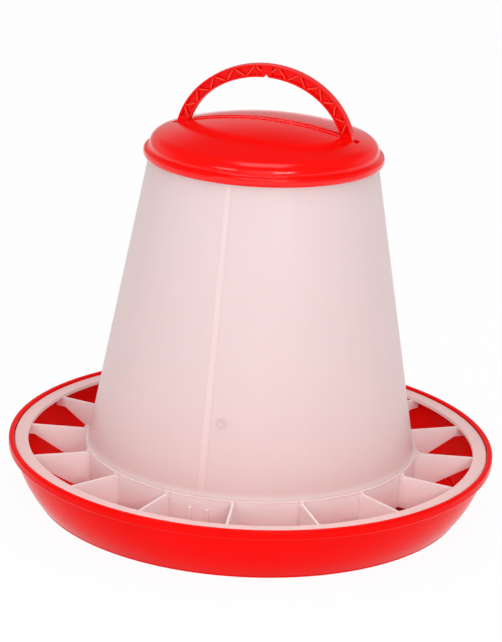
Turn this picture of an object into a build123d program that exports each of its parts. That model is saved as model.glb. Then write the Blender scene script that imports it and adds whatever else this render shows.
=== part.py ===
from build123d import *
from math import atan2, cos, degrees, hypot, pi, radians, sin, tan
import os

# Poultry hopper feeder in four mouldings: pan, hopper, lid and handle.
# Millimetres. Z is the axis of the feeder, z = 0 is the ground under the pan.
# The handle arch stands in the XZ plane.

# Fits
ring_clearance = 0.6
lid_clearance = 0.6
slot_clearance = 0.4
slot_length_gap = 2.4
lug_clearance = 0.3

# Feed pan
rim_radius = 175.0
rim_top = 42.5
rim_band = 6.0
rim_wall = 3.8
pan_wall = 2.2
pan_floor = 2.2
pan_foot_radius = 154.8
pan_shoulder_radius = 170.8
pan_bulge = 2.0
spreader_foot_radius = 84.0
spreader_tip_radius = 14.0
spreader_height = 52.0
hook_radius = 108.5
hook_thick = 3.0
hook_reach = 7.0
hook_half_width = 6.0
hook_top = 25.0
hook_lip = 3.0

# Hopper
ring_top = rim_top - 1.5
ring_thick = 3.0
ring_outer = rim_radius - rim_wall - ring_clearance
ring_inner = ring_outer - 9.6
cone_foot_radius = 118.0
hopper_top = 255.0
flange_radius = 81.6
flange_thick = 2.0
cone_top_radius = flange_radius - 2.2
hopper_wall = 2.0
ledge_top = ring_top - 1.0
skirt_radius = cone_foot_radius + 1.8
skirt_foot = 15.0
fin_count = 16
fin_thick = 1.6
fin_top = ring_top - 2.0
fin_outer = ring_outer - 3.8
fin_outer_foot = 31.6
fin_kink_radius = ring_inner - 2.0
fin_slope = 0.60
fin_pip_radius = 1.9
stripe_angle = 2.8
stripe_proud = 0.5

# Lid
lid_skirt_inner = flange_radius + lid_clearance
lid_radius = lid_skirt_inner + 2.1
lid_foot = hopper_top - 4.2
lid_wall = 2.0
lid_step_radius = lid_radius - 3.7
lid_step_height = hopper_top + lid_wall + 0.9
lid_dome_rise = 20.5
lid_shoulder_radius = 9.2
lid_crown_radius = (
    lid_step_radius**2 + lid_dome_rise**2 - 2 * lid_step_radius * lid_shoulder_radius
) / (2 * (lid_dome_rise - lid_shoulder_radius))
lid_brim_round = 2.2
lid_step_fillet = 1.3
lid_rib_proud = 0.7
lid_rib_offset = 3.2
lid_rib_thick = 1.2

# Handle
arch_centre = lid_step_height + 0.6
arch_outer = (65.0, 58.3)
arch_inner = (arch_outer[0] - 7.9, arch_outer[1] - 8.8)
arch_depth = 7.4
arch_border = 1.3
arch_web = 2.0
zigzag_ribs = 20
zigzag_thick = 0.9
notch_width = 5.0
crown_pad = 3.6
notch_depth = 2.2
arch_solid_foot = 16.0
foot_hook_drop = 4.0
foot_hook_grip = 4.0

# Quarter turns shared by the hooks, lugs and notches
QUARTERS = (0, 90, 180, 270)


def section(corners):
    """Closed face in the XZ plane from (radius, height, corner round) triples."""
    count = len(corners)
    edges = []
    ends = []
    for i, (x, z, rounding) in enumerate(corners):
        here = Vector(x, z)
        back = (Vector(*corners[i - 1][:2]) - here).normalized()
        ahead = (Vector(*corners[(i + 1) % count][:2]) - here).normalized()
        if rounding == 0:
            ends.append((here, here))
            continue
        half = radians(back.get_angle(ahead) / 2)
        inward = (back + ahead).normalized()
        start = here + back * (rounding / tan(half))
        stop = here + ahead * (rounding / tan(half))
        middle = here + inward * (rounding / sin(half) - rounding)
        edges.append(ThreePointArc(start, middle, stop))
        ends.append((start, stop))
    for i in range(count):
        leave = ends[i][1]
        arrive = ends[(i + 1) % count][0]
        if (arrive - leave).length > 1e-4:
            edges.append(Line(leave, arrive))
    return make_face([Plane.XZ * edge for edge in edges])


def outline(edges):
    """Closed face in the XZ plane from edges drawn as (radius, height)."""
    return make_face([Plane.XZ * edge for edge in edges])


def turned(face):
    """Solid of revolution about the feeder's axis."""
    return revolve(face, Axis.Z, 360)


def sector(corners, angle):
    """Part turn of a section, centred on the +X direction."""
    return Rot(0, 0, -angle / 2) * revolve(section(corners), Axis.Z, angle)


def block(x0, x1, y0, y1, z0, z1):
    """Box between two opposite corners."""
    centre = Pos((x0 + x1) / 2, (y0 + y1) / 2, (z0 + z1) / 2)
    return centre * Box(x1 - x0, y1 - y0, z1 - z0)


def cone_radius(z):
    """Outer radius of the hopper cone at height z."""
    share = (z - ledge_top) / (hopper_top - ledge_top)
    return cone_foot_radius + share * (cone_top_radius - cone_foot_radius)


def make_pan():
    """Round pan with a rim that seats the hopper ring and a hollow spreader cone."""
    shoulder = rim_top - rim_band - 1.6
    seat = ring_top - ring_thick
    inner_shoulder = pan_shoulder_radius - pan_wall
    rim_inner = rim_radius - rim_wall
    mid_outer = ((pan_foot_radius + pan_shoulder_radius) / 2 + pan_bulge, shoulder / 2)
    outer_wall = ThreePointArc(
        (pan_foot_radius, 1.6), mid_outer, (pan_shoulder_radius, shoulder)
    )
    inner_foot = (pan_foot_radius - pan_wall - 0.6, pan_floor + 3.0)
    mid_inner = (mid_outer[0] - pan_wall, mid_outer[1] + 1.2)
    inner_wall = ThreePointArc(inner_foot, mid_inner, (inner_shoulder, shoulder))
    edges = [
        Line((0, spreader_height), (0, spreader_height - pan_wall)),
        Line((0, spreader_height - pan_wall), (spreader_tip_radius - 2.4, spreader_height - 3.4)),
        Line((spreader_tip_radius - 2.4, spreader_height - 3.4), (spreader_foot_radius - 2.8, 0)),
        Line((spreader_foot_radius - 2.8, 0), (pan_foot_radius - 1.6, 0)),
        ThreePointArc(
            (pan_foot_radius - 1.6, 0), (pan_foot_radius - 0.47, 0.47), (pan_foot_radius, 1.6)
        ),
        outer_wall,
        Line((pan_shoulder_radius, shoulder), (rim_radius - 1.8, shoulder + 0.8)),
        ThreePointArc(
            (rim_radius - 1.8, shoulder + 0.8),
            (rim_radius - 0.527, shoulder + 1.327),
            (rim_radius, shoulder + 2.6),
        ),
        Line((rim_radius, shoulder + 2.6), (rim_radius, rim_top - 1.5)),
        ThreePointArc(
            (rim_radius, rim_top - 1.5),
            (rim_radius - 0.44, rim_top - 0.44),
            (rim_radius - 1.5, rim_top),
        ),
        Line((rim_radius - 1.5, rim_top), (rim_inner + 0.8, rim_top)),
        ThreePointArc(
            (rim_inner + 0.8, rim_top),
            (rim_inner + 0.24, rim_top - 0.24),
            (rim_inner, rim_top - 0.8),
        ),
        Line((rim_inner, rim_top - 0.8), (rim_inner, seat)),
        Line((rim_inner, seat), (inner_shoulder, seat)),
        Line((inner_shoulder, seat), (inner_shoulder, shoulder)),
        inner_wall,
        ThreePointArc(
            inner_foot,
            (inner_foot[0] - 1.2, pan_floor + 0.8),
            (inner_foot[0] - 3.6, pan_floor),
        ),
        Line((inner_foot[0] - 3.6, pan_floor), (spreader_foot_radius, pan_floor)),
        Line(
            (spreader_foot_radius, pan_floor), (spreader_tip_radius, spreader_height - 1.4)
        ),
        ThreePointArc(
            (spreader_tip_radius, spreader_height - 1.4),
            (spreader_tip_radius - 2.2, spreader_height - 0.3),
            (spreader_tip_radius - 5.0, spreader_height),
        ),
        Line((spreader_tip_radius - 5.0, spreader_height), (0, spreader_height)),
    ]
    pan = turned(outline(edges))
    side = hook_half_width
    stem_far = hook_radius + hook_thick
    hook = block(hook_radius, stem_far, -side, side, pan_floor - 1, hook_top)
    hook += block(hook_radius, hook_radius + hook_reach, -side, side, hook_top - hook_lip, hook_top)
    for turn in QUARTERS:
        pan += Rot(0, 0, turn + 45) * hook
    return pan


def make_hopper():
    """Cone with a skirt, sixteen fins and an outer ring, moulded in one piece."""
    wall_foot = cone_foot_radius - hopper_wall
    wall_top = cone_top_radius - hopper_wall
    flange_foot = hopper_top - flange_thick
    body = turned(
        section(
            [
                (wall_foot + 1.6, skirt_foot, 0.5),
                (skirt_radius - 0.4, skirt_foot, 0.5),
                (skirt_radius, ledge_top, 0.5),
                (cone_foot_radius, ledge_top, 0.3),
                (cone_radius(flange_foot), flange_foot, 0.4),
                (flange_radius, flange_foot, 0.5),
                (flange_radius, hopper_top, 0.6),
                (wall_top, hopper_top, 0.6),
                (wall_foot, ledge_top - 1.0, 0.8),
            ]
        )
    )
    ring_foot = ring_top - ring_thick
    ring = turned(
        section(
            [
                (ring_inner, ring_foot, 0.4),
                (ring_outer, ring_foot, 0.4),
                (ring_outer, ring_top, 0.6),
                (ring_inner, ring_top, 0.6),
            ]
        )
    )
    flat_radius = fin_kink_radius - (fin_outer_foot - skirt_foot) / fin_slope
    fin_face = section(
        [
            (skirt_radius - 1.2, fin_top, 0),
            (skirt_radius - 1.2, skirt_foot + 0.4, 0),
            (flat_radius, skirt_foot + 0.4, 2.0),
            (fin_kink_radius, fin_outer_foot, 2.0),
            (fin_outer, fin_outer_foot, 0.8),
            (fin_outer, ring_foot + 0.5, 0),
            (ring_inner + 1.0, ring_foot + 0.5, 0),
            (ring_inner + 1.0, fin_top, 0),
        ]
    )
    fin = extrude(fin_face, amount=fin_thick / 2, both=True)
    pip = Pos(skirt_radius + 0.6, 0, fin_top - 3.0) * Cylinder(
        fin_pip_radius, 4.4, align=(Align.CENTER, Align.CENTER, Align.MIN)
    )
    spacing = 360 / fin_count
    grille = [ring]
    for i in range(fin_count):
        grille.append(Rot(0, 0, spacing * (i + 0.5)) * (fin + pip))
    stripe = sector(
        [
            (cone_foot_radius - 0.8, ledge_top - 0.5, 0),
            (cone_radius(ledge_top) + stripe_proud, ledge_top - 0.5, 0),
            (cone_radius(lid_foot - 1) + stripe_proud, lid_foot - 1, 0),
            (cone_radius(lid_foot - 1) - 0.8, lid_foot - 1, 0),
        ],
        stripe_angle,
    )
    skirt_band = sector(
        [
            (skirt_radius - 1.2, skirt_foot + 1, 0),
            (skirt_radius + 0.2, skirt_foot + 1, 0),
            (skirt_radius + 0.5, ledge_top - 0.6, 0),
            (skirt_radius - 1.2, ledge_top - 0.6, 0),
        ],
        stripe_angle,
    )
    tab = block(skirt_radius - 1, skirt_radius + 2.0, -0.7, 0.7, 24, 32)
    grille.append(Rot(0, 0, -90) * (stripe + skirt_band))
    grille.append(Rot(0, 0, -93) * tab)
    grille.append(Rot(0, 0, -87) * tab)
    lug_foot = hook_radius + hook_thick + 2 * lug_clearance
    lug_top = hook_top - hook_lip - lug_clearance
    lug = block(lug_foot, skirt_radius - 1.2, -5, 5, lug_top - 4.2, lug_top)
    for turn in QUARTERS:
        grille.append(Rot(0, 0, turn + 45) * lug)
    hopper = body + grille
    notch = sector(
        [
            (cone_top_radius + 0.5, flange_foot - 1, 0),
            (flange_radius + 2, flange_foot - 1, 0),
            (flange_radius + 2, hopper_top + 1, 0),
            (cone_top_radius + 0.5, hopper_top + 1, 0),
        ],
        18,
    )
    for turn in QUARTERS:
        hopper -= Rot(0, 0, turn) * notch
    return hopper


def dome_arcs(grow):
    """Shoulder and crown arcs of the lid dome, grown outward by the given amount."""
    crown_foot = lid_step_height + lid_dome_rise - lid_crown_radius
    shoulder_centre = lid_step_radius - lid_shoulder_radius
    lean = atan2(shoulder_centre, lid_step_height - crown_foot)
    crown = lid_crown_radius + grow
    shoulder = lid_shoulder_radius + grow

    def on_shoulder(angle):
        x = shoulder_centre + shoulder * sin(angle)
        return (x, lid_step_height + shoulder * cos(angle))

    def on_crown(angle):
        return (crown * sin(angle), crown_foot + crown * cos(angle))

    half_turn = (pi / 2 + lean) / 2
    return [
        ThreePointArc(on_shoulder(pi / 2), on_shoulder(half_turn), on_shoulder(lean)),
        ThreePointArc(on_shoulder(lean), on_crown(lean / 2), on_crown(0)),
    ]


def dome_section(grow):
    """Half section under the lid dome, grown outward by the given amount."""
    across = lid_step_radius + grow
    top = lid_step_height + lid_dome_rise + grow
    foot = lid_step_height
    return dome_arcs(grow) + [
        Line((0, top), (0, foot - 1)),
        Line((0, foot - 1), (across, foot - 1)),
        Line((across, foot - 1), (across, foot)),
    ]


def make_lid():
    """Dome with a rolled rim, two handle slots and a pair of low ribs between them."""
    seat = hopper_top
    inner = lid_step_radius - lid_wall
    rise = lid_dome_rise - lid_wall
    foot = lid_step_height
    brim_low = foot - lid_step_fillet - lid_brim_round
    edges = dome_arcs(0) + dome_arcs(-lid_wall) + [
        Line((0, foot + lid_dome_rise), (0, foot + rise)),
        Line((inner, foot), (inner, seat)),
        Line((inner, seat), (lid_skirt_inner, seat)),
        Line((lid_skirt_inner, seat), (lid_skirt_inner, lid_foot)),
        Line((lid_skirt_inner, lid_foot), (lid_radius - 1.0, lid_foot)),
        ThreePointArc(
            (lid_radius - 1.0, lid_foot),
            (lid_radius - 0.258, lid_foot + 0.98),
            (lid_radius, lid_foot + 2.2),
        ),
        Line((lid_radius, lid_foot + 2.2), (lid_radius, brim_low)),
        ThreePointArc(
            (lid_radius, brim_low),
            (lid_radius - 0.2929 * lid_brim_round, brim_low + 0.7071 * lid_brim_round),
            (lid_radius - lid_brim_round, brim_low + lid_brim_round),
        ),
        ThreePointArc(
            (lid_radius - lid_brim_round, brim_low + lid_brim_round),
            (lid_step_radius + 0.2929 * lid_step_fillet, foot - 0.7071 * lid_step_fillet),
            (lid_step_radius, foot),
        ),
    ]
    lid = turned(outline(edges))
    half_slot = arch_depth / 2 + slot_clearance
    slot_near = arch_inner[0] - slot_length_gap
    slot_far = arch_outer[0] + slot_length_gap
    slot_low = foot + 2
    slot_high = foot + 2 * lid_dome_rise
    slot = block(slot_near, slot_far, -half_slot, half_slot, slot_low, slot_high)
    lid -= slot + Rot(0, 0, 180) * slot
    lug_top = hopper_top - flange_thick - lug_clearance
    lug = sector(
        [
            (lid_skirt_inner + 0.5, lid_foot + 0.2, 0),
            (cone_top_radius + 1.8, lid_foot + 1.0, 0),
            (cone_top_radius + 1.8, lug_top, 0),
            (lid_skirt_inner + 0.5, lug_top, 0),
        ],
        14,
    )
    for turn in QUARTERS:
        lid += Rot(0, 0, turn + 45) * lug
    skin = turned(outline(dome_section(lid_rib_proud))) - turned(outline(dome_section(-0.8)))
    reach = slot_near - 1.2
    rib_near = lid_rib_offset - lid_rib_thick / 2
    rib_far = lid_rib_offset + lid_rib_thick / 2
    strip = block(-reach, reach, rib_near, rib_far, foot, slot_high)
    lid += skin & (strip + Rot(0, 0, 180) * strip)
    return lid


def arch_face(grow):
    """Half-elliptical band of the handle, grown or shrunk along both edges."""
    ax, az = arch_outer[0] + grow, arch_outer[1] + grow
    bx, bz = arch_inner[0] - grow, arch_inner[1] - grow
    return outline(
        [
            EllipticalCenterArc((0, arch_centre), ax, az, arc_size=180),
            Line((-ax, arch_centre), (-bx, arch_centre)),
            EllipticalCenterArc((0, arch_centre), bx, bz, arc_size=180),
            Line((bx, arch_centre), (ax, arch_centre)),
        ]
    )


def make_handle():
    """Arch with a recess on both faces, zigzag ribs and hooked feet."""
    arch = extrude(arch_face(0), amount=arch_depth / 2, both=True)
    recess = extrude(arch_face(-arch_border), amount=arch_depth, both=True)
    wide = 2 * arch_outer[0]
    low = arch_centre - arch_outer[1]
    high = arch_centre + 2 * arch_outer[1]
    window = recess & block(-wide, wide, -arch_depth, arch_depth, arch_centre + arch_solid_foot, high)
    pocket = window - block(-wide, wide, -arch_web / 2, arch_web / 2, low, high)
    pocket -= block(-crown_pad, crown_pad, -arch_depth, arch_depth, low, high)
    handle = arch - pocket
    points = []
    for i in range(zigzag_ribs + 1):
        angle = radians(17 + (180 - 34) * i / zigzag_ribs)
        edge = arch_outer if i % 2 else arch_inner
        inset = -0.6 if i % 2 else 0.6
        points.append(
            (
                (edge[0] + inset) * cos(angle),
                arch_centre + (edge[1] + inset) * sin(angle),
            )
        )
    ribs = []
    for (x0, z0), (x1, z1) in zip(points[:-1], points[1:]):
        length = hypot(x1 - x0, z1 - z0)
        tilt = degrees(atan2(z1 - z0, x1 - x0))
        place = Location(((x0 + x1) / 2, 0, (z0 + z1) / 2), (0, -tilt, 0))
        ribs.append(place * Box(length, arch_depth - 0.8, zigzag_thick))
    trim = extrude(arch_face(-0.4), amount=arch_depth, both=True)
    for rib in ribs:
        handle += rib & trim
    crown = arch_centre + arch_inner[1]
    notch = outline(
        [
            Line((-notch_width / 2, crown - 1), (notch_width / 2, crown - 1)),
            Line((notch_width / 2, crown - 1), (0, crown + notch_depth)),
            Line((0, crown + notch_depth), (-notch_width / 2, crown - 1)),
        ]
    )
    handle -= extrude(notch, amount=arch_depth, both=True)
    cavity = turned(outline(dome_section(-lid_wall)))
    half = arch_depth / 2
    hook_low = arch_centre + foot_hook_drop
    out_near = arch_outer[0] - 2.5
    out_far = arch_outer[0] + foot_hook_grip
    in_near = arch_inner[0] - foot_hook_grip
    in_far = arch_inner[0] + 0.7
    hooks = block(out_near, out_far, -half, half, hook_low, high)
    hooks += block(in_near, in_far, -half, half, hook_low + 1, high)
    hooks &= cavity
    handle += hooks + Rot(0, 0, 180) * hooks
    return handle


os.makedirs("parts", exist_ok=True)
for name, maker in (
    ("feed_pan", make_pan),
    ("hopper", make_hopper),
    ("lid", make_lid),
    ("handle", make_handle),
):
    export_step(maker(), f"parts/{name}.step")
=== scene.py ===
"""Looks, marks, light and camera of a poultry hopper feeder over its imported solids."""

import logging
import math
from dataclasses import dataclass, field
from enum import Enum
from typing import Any, Union

import bpy
from mathutils import Matrix, Vector


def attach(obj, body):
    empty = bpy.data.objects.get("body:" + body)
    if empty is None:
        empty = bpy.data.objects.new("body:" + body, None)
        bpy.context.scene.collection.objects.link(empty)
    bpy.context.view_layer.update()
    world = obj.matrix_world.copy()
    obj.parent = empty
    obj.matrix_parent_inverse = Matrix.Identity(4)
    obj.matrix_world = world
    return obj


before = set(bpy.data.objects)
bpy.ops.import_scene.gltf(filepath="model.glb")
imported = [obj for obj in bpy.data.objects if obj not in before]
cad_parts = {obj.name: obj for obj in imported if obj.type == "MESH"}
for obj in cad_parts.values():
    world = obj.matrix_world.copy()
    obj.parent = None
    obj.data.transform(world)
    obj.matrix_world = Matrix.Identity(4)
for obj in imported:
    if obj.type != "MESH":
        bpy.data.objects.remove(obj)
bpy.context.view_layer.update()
LOG = logging.getLogger("feeder")
CAMERA_TURN = 16.08
PLASTIC_IOR = 1.49
SMOOTH_ANGLE = 40.0
CLOUD_ROUGHNESS = 0.55

Colour = tuple[float, float, float]
Span = tuple[float, float]
NodeOwner = Union[bpy.types.Material, bpy.types.World]


class Moulding(Enum):
    """The feeder's four mouldings, by the name of their solid."""

    PAN = "feed_pan"
    HOPPER = "hopper"
    LID = "lid"
    HANDLE = "handle"


class Axis(Enum):
    """Directions that a pattern can be read along."""

    X = "X"
    Y = "Y"
    Z = "Z"


class Detail(Enum):
    """How many octaves of finer cloud a noise has."""

    PLAIN = 2.0
    SOFT = 3.0
    RICH = 4.0


class Ray(Enum):
    """Kinds of ray that the studio answers in their own way, by their socket."""

    CAMERA = "Is Camera Ray"
    GLOSSY = "Is Glossy Ray"


class Shade:
    """A socket in a shader, with the sums that a maker writes on it."""

    def __init__(self, tree: "ShaderTree", socket: Any) -> None:
        """Keeps the tree and the socket.

        Args:
            tree: The shader that new nodes go into.
            socket: The output that this value comes from.
        """
        self.tree = tree
        self.socket = socket

    def _sum(self, operation: str, *values: Any, clamp: bool = False) -> "Shade":
        """Adds one Math node.

        Args:
            operation: The Math node's operation.
            values: Numbers or shades for its inputs, in order.
            clamp: True to keep the result between 0 and 1.

        Returns:
            The node's result.
        """
        settings = {"operation": operation, "use_clamp": clamp}
        return self.tree.node("ShaderNodeMath", settings, dict(enumerate(values)))

    def __add__(self, other: Any) -> "Shade":
        """This plus another."""
        return self._sum("ADD", self, other)

    def __radd__(self, other: Any) -> "Shade":
        """Another plus this."""
        return self._sum("ADD", other, self)

    def __sub__(self, other: Any) -> "Shade":
        """This minus another."""
        return self._sum("SUBTRACT", self, other)

    def __rsub__(self, other: Any) -> "Shade":
        """Another minus this."""
        return self._sum("SUBTRACT", other, self)

    def __mul__(self, other: Any) -> "Shade":
        """This times another."""
        return self._sum("MULTIPLY", self, other)

    def __rmul__(self, other: Any) -> "Shade":
        """Another times this."""
        return self._sum("MULTIPLY", other, self)

    def __truediv__(self, other: Any) -> "Shade":
        """This over another."""
        return self._sum("DIVIDE", self, other)

    def __rtruediv__(self, other: Any) -> "Shade":
        """Another over this."""
        return self._sum("DIVIDE", other, self)

    def __pow__(self, other: Any) -> "Shade":
        """This to a power."""
        return self._sum("POWER", self, other)

    def clamped(self) -> "Shade":
        """This, kept between 0 and 1."""
        return self._sum("ADD", self, 0.0, clamp=True)

    def size(self) -> "Shade":
        """This without its sign."""
        return self._sum("ABSOLUTE", self)

    def turn_from(self, other: "Shade") -> "Shade":
        """The angle of (other, this) about the axis."""
        return self._sum("ARCTAN2", self, other)

    def step(self, low: float, high: float) -> "Shade":
        """A smooth rise from 0 at low to 1 at high.

        Args:
            low: Where the rise starts.
            high: Where it ends.

        Returns:
            The mask.
        """
        return self.tree.node(
            "ShaderNodeMapRange",
            {"interpolation_type": "SMOOTHSTEP"},
            {"Value": self, "From Min": low, "From Max": high},
        )

    def blend(self, low: Any, high: Any) -> "Shade":
        """Mixes two colours by this value.

        Args:
            low: Colour where this is 0.
            high: Colour where this is 1.

        Returns:
            The mixed colour.
        """
        return self.tree.mix(self, low, high)


class ShaderTree:
    """The nodes of one material or world, made from Python sums."""

    def __init__(self, owner: NodeOwner) -> None:
        """Takes the owner's nodes and empties them.

        Args:
            owner: The material or world.
        """
        owner.use_nodes = True
        self.owner = owner
        self.nodes = owner.node_tree.nodes
        self.links = owner.node_tree.links
        self.nodes.clear()
        self.place = None

    def direction(self) -> Shade:
        """The direction that a world is looked at in."""
        return self.node("ShaderNodeTexCoord", {}, {}, output="Generated")

    def ray(self, kind: Ray) -> Shade:
        """Mask of one kind of ray."""
        return self.node("ShaderNodeLightPath", {}, {}, output=kind.value)

    def node(self, kind: str, settings: dict, inputs: dict, output: Any = 0) -> Shade:
        """Adds a node of any kind.

        Args:
            kind: The node's type.
            settings: Its own settings, set before its sockets.
            inputs: Values or shades by socket name or number.
            output: Name or number of the output to give back, or None for no output.

        Returns:
            The chosen output.
        """
        made = self.nodes.new(kind)
        for name, value in settings.items():
            setattr(made, name, value)
        for key, value in inputs.items():
            self._plug(made.inputs[key], value)
        return Shade(self, None if output is None else made.outputs[output])

    def _plug(self, socket: Any, value: Any) -> None:
        """Links a shade to a socket, or sets the socket's own value.

        Args:
            socket: The socket to fill.
            value: A shade, a number, a colour or a vector.
        """
        if isinstance(value, Shade):
            self.links.new(value.socket, socket)
        elif isinstance(value, tuple) and len(value) == 3 and socket.type == "RGBA":
            socket.default_value = (*value, 1.0)
        else:
            socket.default_value = value

    def mix(self, factor: Any, low: Any, high: Any) -> Shade:
        """Mixes two colours.

        Args:
            factor: How much of the second colour.
            low: The first colour.
            high: The second colour.

        Returns:
            The mixed colour.
        """
        return self.node(
            "ShaderNodeMix",
            {"data_type": "RGBA", "clamp_factor": True},
            {0: factor, 6: low, 7: high},
            output=2,
        )

    def position(self) -> Shade:
        """The place on the piece, in metres.

        Returns:
            The place, read once and shared by all that ask for it.
        """
        if self.place is None:
            self.place = self.node("ShaderNodeTexCoord", {}, {}, output="Object")
        return self.place

    def along(self, axis: Axis) -> Shade:
        """One coordinate of the place on the piece.

        Args:
            axis: Which coordinate.

        Returns:
            The coordinate in metres.
        """
        return self.node(
            "ShaderNodeSeparateXYZ", {}, {"Vector": self.position()}, output=axis.value
        )

    def round_place(self, turns: float, rise: float) -> Shade:
        """A place unrolled round the feeder's axis, for marks that run with the flow.

        Args:
            turns: Scale of the angle round the axis.
            rise: Scale of the height.

        Returns:
            The unrolled place.
        """
        angle = self.along(Axis.Y).turn_from(self.along(Axis.X))
        return self.node(
            "ShaderNodeCombineXYZ",
            {},
            {"X": angle * turns, "Z": self.along(Axis.Z) * rise},
            output="Vector",
        )

    def noise(self, scale: float, detail: Detail, place: Any = None) -> Shade:
        """Soft random cloud between 0 and 1.

        Args:
            scale: Clouds per metre, or per unit of place.
            detail: How fine the cloud goes.
            place: Where to read it, or None for the place on the piece.

        Returns:
            The cloud.
        """
        vector = self.position() if place is None else place
        inputs = {
            "Vector": vector,
            "Scale": scale,
            "Detail": detail.value,
            "Roughness": CLOUD_ROUGHNESS,
        }
        return self.node("ShaderNodeTexNoise", {}, inputs)

    def bump(self, height: Shade, strength: float, distance: float) -> Shade:
        """Turns a height into a bumped normal.

        Args:
            height: The height.
            strength: How much the bump counts.
            distance: Height in metres of a full step.

        Returns:
            The normal.
        """
        return self.node(
            "ShaderNodeBump",
            {},
            {"Height": height, "Strength": strength, "Distance": distance},
            output="Normal",
        )

    def finish(self, surface: dict) -> bpy.types.Material:
        """Ends the tree in a Principled shader.

        Args:
            surface: Values or shades by socket name.

        Returns:
            The finished material.
        """
        return self.end(self.node("ShaderNodeBsdfPrincipled", {}, surface, output="BSDF"))

    def end(self, shader: Shade) -> bpy.types.Material:
        """Ends a material's tree in any shader.

        Args:
            shader: The shader's output.

        Returns:
            The finished material.
        """
        self.node("ShaderNodeOutputMaterial", {}, {"Surface": shader}, output=None)
        return self.owner


@dataclass(frozen=True)
class RedPlastic:
    """Glossy red moulded plastic, mottled a little where it flowed."""

    name: str
    colour: Colour = (0.91, 0.0022, 0.0008)
    deep: Colour = (0.87, 0.0016, 0.0006)
    roughness: float = 0.22
    grain: float = 1.0
    gloss: float = 0.25
    cloud_scale: float = 14.0
    cloud_edges: Span = (0.30, 0.62)
    scuff_scale: float = 420.0
    scuff_edges: Span = (0.64, 0.82)
    peel_scale: float = 1500.0
    peel_share: float = 0.25
    rough_swing: float = 0.08
    bump_strength: float = 0.08
    bump_height: float = 0.0006

    def make(self) -> bpy.types.Material:
        """Builds the material.

        Returns:
            The material.
        """
        tree = ShaderTree(bpy.data.materials.new(self.name))
        cloud = tree.noise(self.cloud_scale, Detail.RICH)
        scuff = tree.noise(self.scuff_scale, Detail.PLAIN)
        peel = tree.noise(self.peel_scale, Detail.PLAIN)
        mottled = cloud.step(*self.cloud_edges).blend(self.deep, self.colour)
        scuffed = scuff.step(*self.scuff_edges) * self.rough_swing
        rough = self.roughness + (cloud - 0.5) * self.rough_swing + scuffed
        height = peel * self.peel_share + cloud * (1 - self.peel_share)
        normal = tree.bump(height, self.bump_strength * self.grain, self.bump_height)
        return tree.finish(
            {
                "Base Color": self._paint(tree, mottled),
                "Roughness": rough.clamped(),
                "Normal": normal,
                "IOR": PLASTIC_IOR,
                "Specular IOR Level": self.gloss,
            }
        )

    def _paint(self, tree: ShaderTree, colour: Shade) -> Shade:
        """Changes the colour where a moulding needs it; the plain plastic keeps it.

        Args:
            tree: The shader that it goes into.
            colour: The plastic's colour.

        Returns:
            The colour to use.
        """
        return colour


@dataclass(frozen=True)
class RibbedRedPlastic(RedPlastic):
    """The handle's red plastic, with a painted highlight along the thin ribs' outer faces."""

    # painted highlight: paler red on the ribs' outer faces, where light catches them
    rib_highlight: Colour = (1.0, 0.060, 0.034)
    rib_face: float = 0.0033
    face_fade: Span = (0.00012, 0.0003)
    arch_foot: float = 0.2585
    outer: Span = (0.0637, 0.0570)
    inner: Span = (0.0584, 0.0508)
    band_fade: float = 0.02

    def _paint(self, tree: ShaderTree, colour: Shade) -> Shade:
        """Paints a highlight on the ribs' outer faces.

        Args:
            tree: The shader that it goes into.
            colour: The plastic's colour.

        Returns:
            The colour with painted highlights on the ribs.
        """
        depth = tree.along(Axis.Y).size()
        across = tree.along(Axis.X)
        rise = tree.along(Axis.Z) - self.arch_foot
        on_face = 1 - (depth - self.rib_face).size().step(*self.face_fade)
        within = 1 - self._band(across, rise, self.outer).step(1.0 - self.band_fade, 1.0)
        beyond = self._band(across, rise, self.inner).step(1.0, 1.0 + self.band_fade)
        return (on_face * within * beyond).blend(colour, self.rib_highlight)

    def _band(self, across: Shade, rise: Shade, half: Span) -> Shade:
        """How far a place lies out from the arch's centre, 1 on an ellipse.

        Args:
            across: The place along the arch.
            rise: Its height over the arch's foot.
            half: The ellipse's half width and height.

        Returns:
            The share of the ellipse's radius, squared.
        """
        return (across / half[0]) ** 2.0 + (rise / half[1]) ** 2.0


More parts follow.
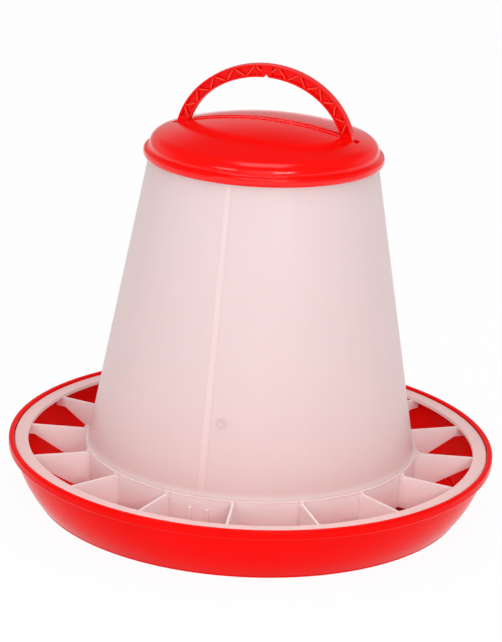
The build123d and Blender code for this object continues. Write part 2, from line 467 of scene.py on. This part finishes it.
@dataclass(frozen=True)
class MilkyPlastic:
    """Milky translucent plastic, with a painted red glow that grows towards the red pan."""

    name: str
    top: Colour = (0.865, 0.650, 0.645)
    middle: Colour = (0.865, 0.635, 0.630)
    # painted red glow: the foot colour is pinker, standing in for red light from the pan
    foot: Colour = (0.89, 0.630, 0.615)
    # painted glow: paler fins low on the hopper, standing in for light that shines through the
    # thin plastic
    grille_glow: Colour = (0.99, 0.88, 0.87)
    top_rise: Span = (0.10, 0.22)
    foot_glow_rise: Span = (0.046, 0.12)
    grille_glow_rise: Span = (0.038, 0.046)
    # painted red glow from the pan on the feeding ring's top
    ring: Colour = (0.95, 0.62, 0.60)
    ring_start: float = 0.1595
    ring_foot: float = 0.0400
    ring_fade: Span = (0.0015, 0.0006)
    ledge: Colour = (0.87, 0.65, 0.64)
    ledge_top: float = 0.0400
    ledge_reach: float = 0.1215
    ledge_soft: float = 0.0008
    ledge_fade: Span = (0.0008, 0.0014)
    stripe_gain: float = 0.047
    stripe_turn: float = -90.0
    stripe_half: float = 1.9
    stripe_soft: float = 1.5
    stripe_rise: Span = (0.041, 0.05)
    cloud_scale: float = 9.0
    flow_stretch: Span = (14.0, 3.0)
    peel_scale: float = 1300.0
    peel_share: float = 0.3
    shade_swing: float = 0.06
    roughness: float = 0.38
    cloud_rough: float = 0.12
    flow_rough: float = 0.06
    bump_strength: float = 0.08
    bump_height: float = 0.0005
    gloss: float = 0.32
    depth_share: float = 0.35
    depth: Colour = (0.010, 0.008, 0.0075)

    def make(self) -> bpy.types.Material:
        """Builds the material.

        Returns:
            The material.
        """
        tree = ShaderTree(bpy.data.materials.new(self.name))
        height = tree.along(Axis.Z)
        cloud = tree.noise(self.cloud_scale, Detail.SOFT)
        flow = tree.noise(1.0, Detail.RICH, tree.round_place(*self.flow_stretch))
        stripe = self._stripe(tree) * height.step(*self.stripe_rise) * self.stripe_gain
        shade = (cloud * 0.5 + flow * 0.5 - 0.5) * self.shade_swing + stripe + 1.0
        wall = self._wall(tree, height)
        colour = tree.node(
            "ShaderNodeVectorMath", {"operation": "MULTIPLY"}, {0: wall, 1: shade}
        )
        clouded = (cloud - 0.5) * self.cloud_rough
        rough = self.roughness + clouded + (flow - 0.5) * self.flow_rough
        peel = tree.noise(self.peel_scale, Detail.PLAIN)
        grain = peel * self.peel_share + flow * (1 - self.peel_share)
        return tree.finish(
            {
                "Base Color": colour,
                "Roughness": rough.clamped(),
                "Normal": tree.bump(grain, self.bump_strength, self.bump_height),
                "IOR": PLASTIC_IOR,
                "Specular IOR Level": self.gloss,
                "Subsurface Weight": self.depth_share,
                "Subsurface Radius": self.depth,
                "Subsurface Scale": 1.0,
            }
        )

    def _wall(self, tree: ShaderTree, height: Shade) -> Shade:
        """Colour of the plastic from the fins up to the lid, with painted light: a red glow
        towards the pan, a glow through the fins and a red glow on the ring's top.

        Args:
            tree: The shader that it goes into.
            height: The height on the piece.

        Returns:
            The colour.
        """
        wall = height.step(*self.top_rise).blend(self.middle, self.top)
        # painted red glow from the pan, pinker near the foot
        wall = (1 - height.step(*self.foot_glow_rise)).blend(wall, self.foot)
        # painted glow of light through the thin fins
        wall = (1 - height.step(*self.grille_glow_rise)).blend(wall, self.grille_glow)
        # painted red glow from the pan on the ring's top
        wall = self._ring_glow_mask(tree, height).blend(wall, self.ring)
        return self._ledge(tree, height).blend(wall, self.ledge)

    def _reach(self, tree: ShaderTree) -> Shade:
        """How far a place is from the feeder's axis, in metres."""
        return (tree.along(Axis.X) ** 2.0 + tree.along(Axis.Y) ** 2.0) ** 0.5

    def _ring_glow_mask(self, tree: ShaderTree, height: Shade) -> Shade:
        """Mask of the feeding ring's top, where a red glow from the pan is painted.

        Args:
            tree: The shader that it goes into.
            height: The height on the piece.

        Returns:
            The mask, 1 on the ring's top.
        """
        across, upward = self.ring_fade
        out = self._reach(tree).step(self.ring_start, self.ring_start + across)
        return out * height.step(self.ring_foot, self.ring_foot + upward)

    def _ledge(self, tree: ShaderTree, height: Shade) -> Shade:
        """Mask of the narrow ledge round the cone's foot, which stays as quiet as the cone.

        Args:
            tree: The shader that it goes into.
            height: The height on the piece.

        Returns:
            The mask, 1 on the ledge.
        """
        edge = self.ledge_reach + self.ledge_soft
        near = 1 - self._reach(tree).step(self.ledge_reach, edge)
        level = 1 - (height - self.ledge_top).size().step(*self.ledge_fade)
        return near * level

    def _stripe(self, tree: ShaderTree) -> Shade:
        """Mask of the lighter stripe that runs down the front of the cone.

        Args:
            tree: The shader that it goes into.

        Returns:
            The mask, 1 on the stripe.
        """
        angle = tree.along(Axis.Y).turn_from(tree.along(Axis.X))
        off = (angle - math.radians(self.stripe_turn)).size()
        edge = math.radians(self.stripe_half)
        return 1 - off.step(edge - math.radians(self.stripe_soft), edge)


@dataclass(frozen=True)
class Backdrop:
    """White paper under and behind the feeder, which keeps a faint shadow."""

    name: str = "white_paper"
    colour: Colour = (0.93, 0.93, 0.93)
    fibre_scale: float = 6.0
    fibre_gain: float = 1.01
    glow: float = 0.95

    def make(self) -> bpy.types.Material:
        """Builds the material.

        Returns:
            The material.
        """
        tree = ShaderTree(bpy.data.materials.new(self.name))
        lighter = tuple(min(1.0, c * self.fibre_gain) for c in self.colour)
        fibre = tree.noise(self.fibre_scale, Detail.PLAIN)
        colour = fibre.blend(self.colour, lighter)
        paper = tree.node("ShaderNodeBsdfDiffuse", {}, {"Color": colour}, output="BSDF")
        white = tree.node("ShaderNodeEmission", {}, {"Strength": 1.0}, output="Emission")
        share = (tree.ray(Ray.CAMERA) + tree.ray(Ray.GLOSSY)) * self.glow
        return tree.end(
            tree.node("ShaderNodeMixShader", {}, {0: share, 1: paper, 2: white}, output="Shader")
        )


@dataclass
class PhotoCamera:
    """Camera that stands where the photograph was taken."""

    turn: float = CAMERA_TURN
    distance: float = 1.5554
    height: float = 0.6355
    yaw: float = -0.139
    pitch: float = 17.997
    roll: float = 2.604
    focal_pixels: float = 2289.58
    frame_height: int = 642
    sensor: float = 36.0
    far: float = 50.0

    def build(self) -> bpy.types.Object:
        """Makes the camera and gives it to the scene.

        Returns:
            The camera.
        """
        yaw, pitch, roll = (math.radians(v) for v in (self.yaw, self.pitch, self.roll))
        ahead = Vector(
            (math.sin(yaw) * math.cos(pitch), math.cos(yaw) * math.cos(pitch), -math.sin(pitch))
        )
        right = Vector((math.cos(yaw), -math.sin(yaw), 0.0))
        over = right.cross(ahead)
        across = right * math.cos(roll) + over * math.sin(roll)
        upward = over * math.cos(roll) - right * math.sin(roll)
        facing = Matrix((across, upward, -ahead)).transposed().to_4x4()
        spot = Matrix.Translation((0.0, -self.distance, self.height))
        data = bpy.data.cameras.new("photo_camera")
        data.sensor_width = self.sensor
        data.lens = self.focal_pixels * self.sensor / self.frame_height
        data.clip_end = self.far
        camera = bpy.data.objects.new("photo_camera", data)
        camera.matrix_world = Matrix.Rotation(math.radians(self.turn), 4, "Z") @ spot @ facing
        bpy.context.collection.objects.link(camera)
        bpy.context.scene.camera = camera
        return camera


@dataclass(frozen=True)
class SoftBox:
    """One soft studio lamp, aimed at the feeder."""

    name: str
    turn: float
    distance: float
    height: float
    width: float
    depth: float
    power: float

    def build(self, aim: Vector) -> bpy.types.Object:
        """Makes the lamp.

        Args:
            aim: The point it faces.

        Returns:
            The lamp.
        """
        data = bpy.data.lights.new(self.name, "AREA")
        data.shape = "RECTANGLE"
        data.size = self.width
        data.size_y = self.depth
        data.energy = self.power
        lamp = bpy.data.objects.new(self.name, data)
        angle = math.radians(self.turn - 90.0)
        lamp.location = (
            self.distance * math.cos(angle),
            self.distance * math.sin(angle),
            self.height,
        )
        lamp.rotation_euler = (aim - lamp.location).to_track_quat("-Z", "Y").to_euler()
        bpy.context.collection.objects.link(lamp)
        return lamp


@dataclass
class Studio:
    """White floor and surroundings, a dim room behind the camera, and soft lamps.

    A lamp's line gives its turn round the feeder, distance, height, width, depth and power.
    """

    aim: Vector = field(default_factory=lambda: Vector((0.0, 0.0, 0.14)))
    floor_size: float = 12.0
    floor_cuts: int = 8
    world_light: float = 0.66
    room_light: float = 0.07
    paper_light: float = 0.50
    paper_ahead: Span = (-0.15, 0.55)
    paper_up: Span = (0.20, 0.60)
    lamps: tuple[SoftBox, ...] = (
        SoftBox("left_key", -20.0, 1.3, 0.62, 0.46, 0.18, 1.8),
        SoftBox("right_key", 36.0, 1.3, 0.58, 0.40, 0.18, 3.0),
        SoftBox("front_fill", 16.0, 2.2, 0.75, 1.4, 1.0, 4.0),
        SoftBox("top_lamp", 16.0, 0.5, 1.9, 1.0, 1.0, 7.5),
    )

    def build(self) -> None:
        """Makes the floor, the world and the lamps."""
        bpy.ops.object.select_all(action="DESELECT")
        bpy.ops.mesh.primitive_grid_add(
            x_subdivisions=self.floor_cuts, y_subdivisions=self.floor_cuts, size=self.floor_size
        )
        floor = bpy.context.object
        floor.name = "studio_floor"
        floor.data.materials.append(Backdrop().make())
        self._world()
        for lamp in self.lamps:
            lamp.build(self.aim)
        bpy.context.scene.view_settings.view_transform = "Standard"

    def _world(self) -> None:
        """Lights the studio evenly, white behind the feeder and dim where the camera stands."""
        world = bpy.data.worlds.new("studio_air")
        bpy.context.scene.world = world
        air = ShaderTree(world)
        ahead = math.radians(CAMERA_TURN + 90.0)
        behind = air.node(
            "ShaderNodeVectorMath",
            {"operation": "DOT_PRODUCT"},
            {0: air.direction(), 1: (math.cos(ahead), math.sin(ahead), 0.0)},
            output="Value",
        )
        upward = air.node(
            "ShaderNodeSeparateXYZ", {}, {"Vector": air.direction()}, output="Z"
        )
        seen = air.ray(Ray.CAMERA)
        shiny = air.ray(Ray.GLOSSY)
        paper = behind.step(*self.paper_ahead) * (1 - upward.step(*self.paper_up))
        mirrored = paper * (self.paper_light - self.room_light) + self.room_light
        level = seen + shiny * mirrored + (1 - seen - shiny) * self.world_light
        white = {"Color": (1.0, 1.0, 1.0), "Strength": level}
        glow = air.node("ShaderNodeBackground", {}, white, output="Background")
        air.node("ShaderNodeOutputWorld", {}, {"Surface": glow}, output=None)


@dataclass
class SurfaceMark:
    """A low round button with a dimple, set on a moulding's surface."""

    name: str
    home: Vector
    outward: Vector
    size: float
    thick: float
    lip: float
    sides: int = 32
    facing_up: float = 0.9
    dimple_slope: float = 0.25
    dimple_depth: float = 0.5
    edge_round: float = 0.35

    def _settle(self, piece: bpy.types.Object, finish: bpy.types.Material) -> bpy.types.Object:
        """Turns the mark to its surface, applies its place and lets it ride.

        Args:
            piece: The shaped mark, at the origin, facing up.
            finish: Its material.

        Returns:
            The settled mark.
        """
        piece.name = self.name
        turn = self.outward.to_track_quat("Z", "Y").to_matrix().to_4x4()
        piece.matrix_world = Matrix.Translation(self.home) @ turn
        bpy.ops.object.select_all(action="DESELECT")
        piece.select_set(True)
        bpy.context.view_layer.objects.active = piece
        bpy.ops.object.transform_apply(location=True, rotation=True, scale=True)
        bpy.ops.object.shade_smooth_by_angle(angle=math.radians(SMOOTH_ANGLE))
        piece.data.materials.clear()
        piece.data.materials.append(finish)
        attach(piece, "root")
        LOG.info("mark %s is on", self.name)
        return piece

    def build(self, finish: bpy.types.Material) -> bpy.types.Object:
        """Shapes the button, left where the plastic came into the mould.

        Args:
            finish: Its material.

        Returns:
            The button.
        """
        bpy.ops.object.select_all(action="DESELECT")
        bpy.ops.mesh.primitive_cylinder_add(
            vertices=self.sides, radius=self.size, depth=2 * self.thick, end_fill_type="NGON"
        )
        piece = bpy.context.object
        bpy.ops.object.mode_set(mode="EDIT")
        bpy.ops.mesh.select_mode(type="FACE")
        bpy.ops.mesh.select_all(action="DESELECT")
        bpy.ops.object.mode_set(mode="OBJECT")
        for face in piece.data.polygons:
            face.select = face.normal.z > self.facing_up
        bpy.ops.object.mode_set(mode="EDIT")
        bpy.ops.mesh.inset(thickness=self.size * self.lip, depth=0.0)
        bpy.ops.mesh.inset(
            thickness=self.size * self.dimple_slope, depth=-self.thick * self.dimple_depth
        )
        bpy.ops.object.mode_set(mode="OBJECT")
        bevel = piece.modifiers.new("soft_edge", "BEVEL")
        bevel.width = self.thick * self.edge_round
        bevel.segments = 3
        bevel.limit_method = "ANGLE"
        bpy.ops.object.modifier_apply(modifier=bevel.name)
        return self._settle(piece, finish)


@dataclass
class Feeder:
    """The four mouldings and the small marks on them.

    A mark's line gives its radius, its height over the surface and its lip's share of the radius.
    """

    red: RedPlastic = RedPlastic("red_pan_plastic", gloss=0.07)
    lid_red: RedPlastic = RedPlastic(
        "red_lid_plastic", colour=(0.96, 0.0022, 0.0008), deep=(0.93, 0.0016, 0.0006),
        roughness=0.16, gloss=0.42, grain=0.30,
    )
    handle_red: RedPlastic = RibbedRedPlastic(
        "red_handle_plastic", roughness=0.24, gloss=0.16, grain=0.40
    )
    milky: MilkyPlastic = MilkyPlastic("milky_hopper_plastic")
    cone_foot: float = 0.118
    cone_slope: float = 0.17953
    cone_base: float = 0.040
    mark_turn: float = -84.7
    mark_height: float = 0.0912
    cone_mark: tuple[float, ...] = (0.0036, 0.0005, 0.50)
    lid_top: float = 0.2784
    lid_mark: tuple[float, ...] = (0.0022, 0.0006, 0.22)

    def dress(self) -> None:
        """Gives every moulding its finish and adds the marks."""
        finishes = {
            Moulding.PAN: self.red.make(),
            Moulding.HOPPER: self.milky.make(),
            Moulding.LID: self.lid_red.make(),
            Moulding.HANDLE: self.handle_red.make(),
        }
        for moulding, finish in finishes.items():
            self._paint(moulding, finish)
        self._cone_mark(finishes[Moulding.HOPPER])
        self._lid_mark(finishes[Moulding.LID])

    def _paint(self, moulding: Moulding, finish: bpy.types.Material) -> None:
        """Puts a finish on one moulding.

        Args:
            moulding: Which moulding.
            finish: Its material.
        """
        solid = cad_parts[moulding.value]
        if not solid.material_slots:
            solid.data.materials.append(finish)
        for slot in solid.material_slots:
            slot.material = finish
        LOG.info("%s is finished in %s", moulding.value, finish.name)

    def _cone_mark(self, finish: bpy.types.Material) -> None:
        """Low round button with a small pit, low on the front of the cone.

        Args:
            finish: Its material.
        """
        angle = math.radians(self.mark_turn)
        out = Vector((math.cos(angle), math.sin(angle), self.cone_slope)).normalized()
        radius = self.cone_foot - self.cone_slope * (self.mark_height - self.cone_base)
        home = Vector((radius * math.cos(angle), radius * math.sin(angle), self.mark_height))
        mark = SurfaceMark("cone_ring_mark", home, out, *self.cone_mark)
        mark.build(finish)

    def _lid_mark(self, finish: bpy.types.Material) -> None:
        """Low button at the top of the dome.

        Args:
            finish: Its material.
        """
        home = Vector((0.0, 0.0, self.lid_top))
        mark = SurfaceMark("lid_gate_mark", home, Vector((0.0, 0.0, 1.0)), *self.lid_mark)
        mark.build(finish)


def main() -> None:
    """Builds the camera, the studio and the feeder's looks."""
    logging.basicConfig(level=logging.INFO)
    PhotoCamera().build()
    Studio().build()
    Feeder().dress()


if __name__ == "__main__":
    main()
